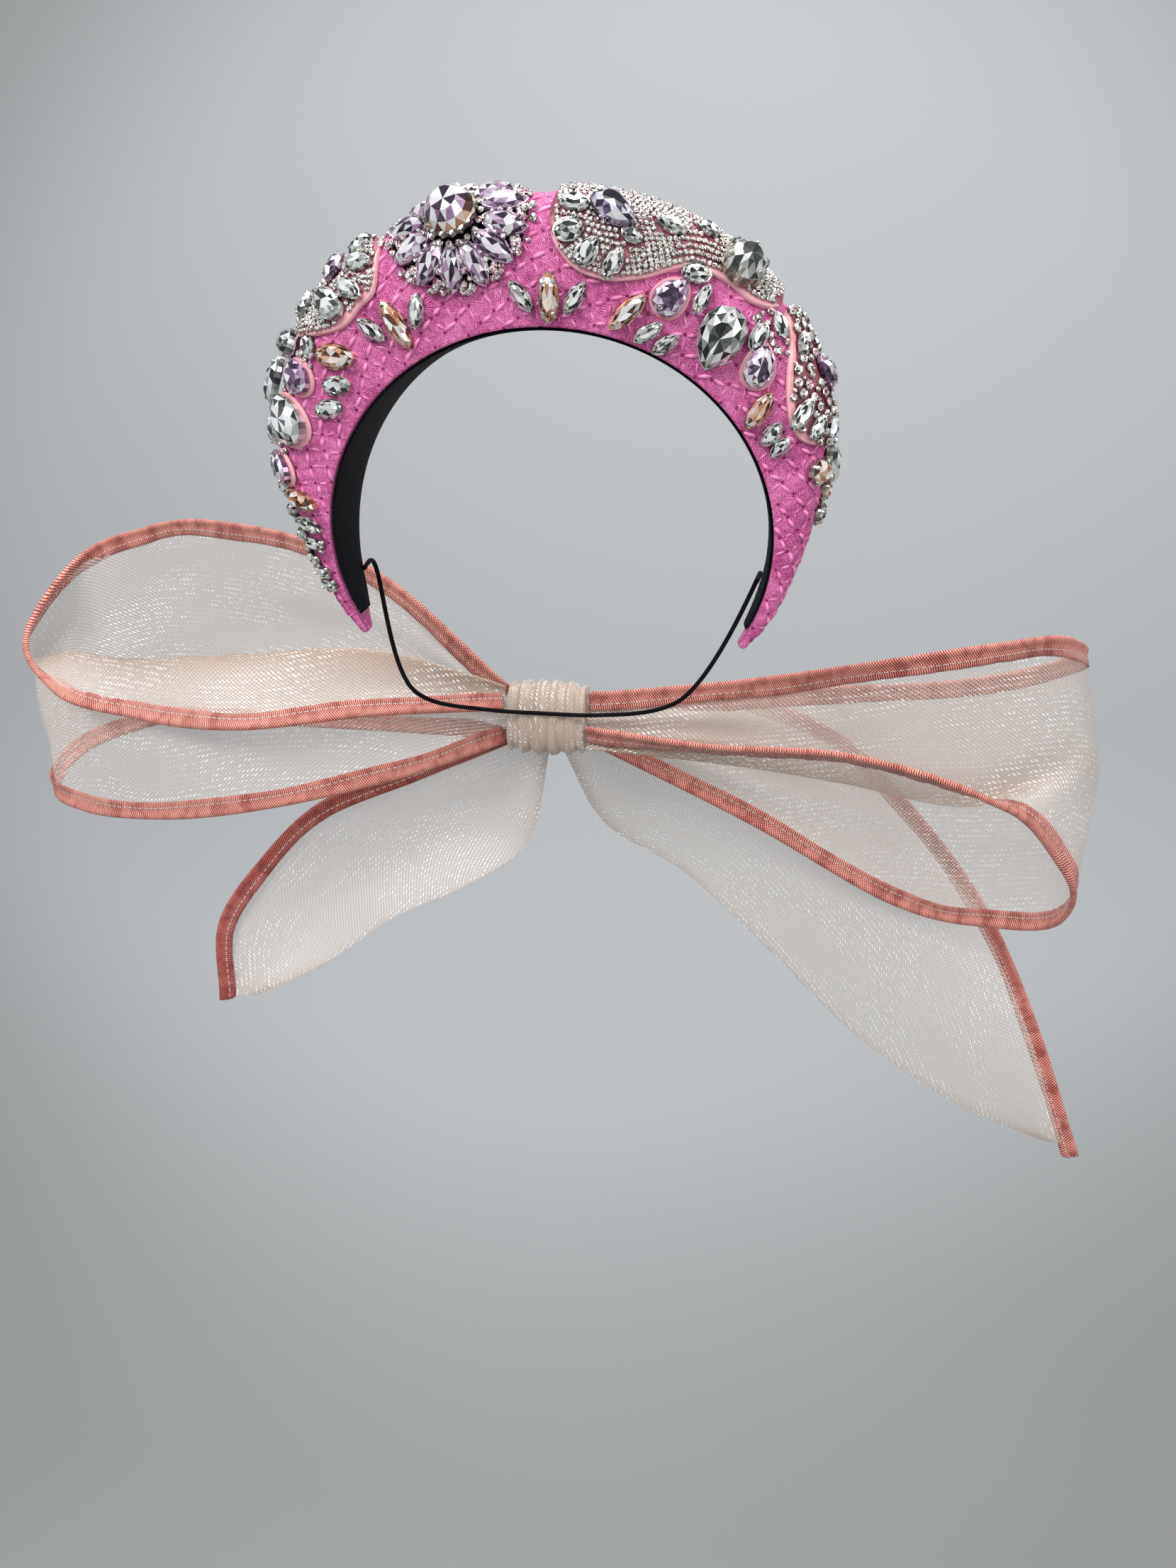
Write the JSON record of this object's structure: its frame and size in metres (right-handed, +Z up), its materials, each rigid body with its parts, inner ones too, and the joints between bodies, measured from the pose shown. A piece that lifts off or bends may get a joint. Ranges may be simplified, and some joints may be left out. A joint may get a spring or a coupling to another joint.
{
  "type": "padded halo headband fascinator",
  "caption": "Tall padded halo headband in rose jacquard with jewelled trim, leather backings and a wide net bow behind the nape.",
  "frame": {"origin": "middle of the band's front lower edge, where it sits on the crown of the head", "axes": "+X to the viewer's right across the head, -Y to the front (the way the face looks), +Z up"},
  "size_m": [0.5073, 0.197, 0.3917],
  "materials": {
    "rose_jacquard": "raised slub threads in a lattice",
    "black_lining": "plain weave, matte",
    "black_elastic": "round elastic cord, matte",
    "crin_net": "stiff diagonal net, translucent with a soft sheen",
    "coral_tape": "braided tape, satin",
    "pink_leather": "smooth, satin",
    "clear_crystal": "cut and foil-backed, mirror bright",
    "lavender_crystal": "cut and foil-backed, mirror bright",
    "champagne_crystal": "cut and foil-backed, mirror bright",
    "rhinestone_field": "small cut stones set close in cup chain"
  },
  "bodies": {
    "root": {"padded_band": "rose_jacquard", "inner_lining": "black_lining", "elastic_cord": "black_elastic", "left_loop_crin": "crin_net", "left_loop_upper_tape": "coral_tape", "left_loop_lower_tape": "coral_tape", "right_loop_crin": "crin_net", "right_loop_upper_tape": "coral_tape", "right_loop_lower_tape": "coral_tape", "left_tail_crin": "crin_net", "left_tail_tape": "coral_tape", "right_tail_crin": "crin_net", "right_tail_tape": "coral_tape", "bow_knot": "crin_net", "left_backing": "pink_leather", "right_backing": "pink_leather", "leaf_backing": "pink_leather", "left_rhinestones": "rhinestone_field", "right_rhinestones": "rhinestone_field", "leaf_rhinestones": "rhinestone_field", "flower_centre_stone": "lavender_crystal", "flower_petal_01": "lavender_crystal", "flower_petal_02": "lavender_crystal", "flower_petal_03": "lavender_crystal", "flower_petal_04": "lavender_crystal", "flower_petal_05": "lavender_crystal", "flower_petal_06": "lavender_crystal", "flower_petal_07": "lavender_crystal", "flower_petal_08": "lavender_crystal", "flower_petal_09": "lavender_crystal", "flower_petal_10": "lavender_crystal", "flower_petal_11": "lavender_crystal", "flower_petal_12": "lavender_crystal", "left_trio_middle_stone": "champagne_crystal", "left_trio_outer_stone": "clear_crystal", "left_trio_inner_stone": "clear_crystal", "centre_trio_middle_stone": "champagne_crystal", "centre_trio_left_stone": "clear_crystal", "centre_trio_right_stone": "clear_crystal", "left_side_champagne_stone": "champagne_crystal", "left_side_high_oval_stone": "clear_crystal", "left_side_low_oval_stone": "clear_crystal", "left_side_lavender_stone": "lavender_crystal", "left_side_clear_pear_stone": "clear_crystal", "left_side_pink_pear_stone": "lavender_crystal", "left_side_low_champagne_stone": "champagne_crystal", "left_side_low_clear_stone": "clear_crystal", "right_upper_champagne_stone": "champagne_crystal", "right_upper_lavender_stone": "lavender_crystal", "right_upper_low_stone": "clear_crystal", "right_upper_lowest_stone": "clear_crystal", "right_upper_high_stone": "clear_crystal", "right_large_pear_stone": "clear_crystal", "right_side_lavender_stone": "lavender_crystal", "right_side_champagne_stone": "champagne_crystal", "right_side_clear_stone": "clear_crystal", "right_crest_lavender_stone": "lavender_crystal", "right_crest_round_stone": "clear_crystal", "right_low_clear_stone": "clear_crystal", "right_low_champagne_stone": "champagne_crystal"}
  },
  "joints": []
}
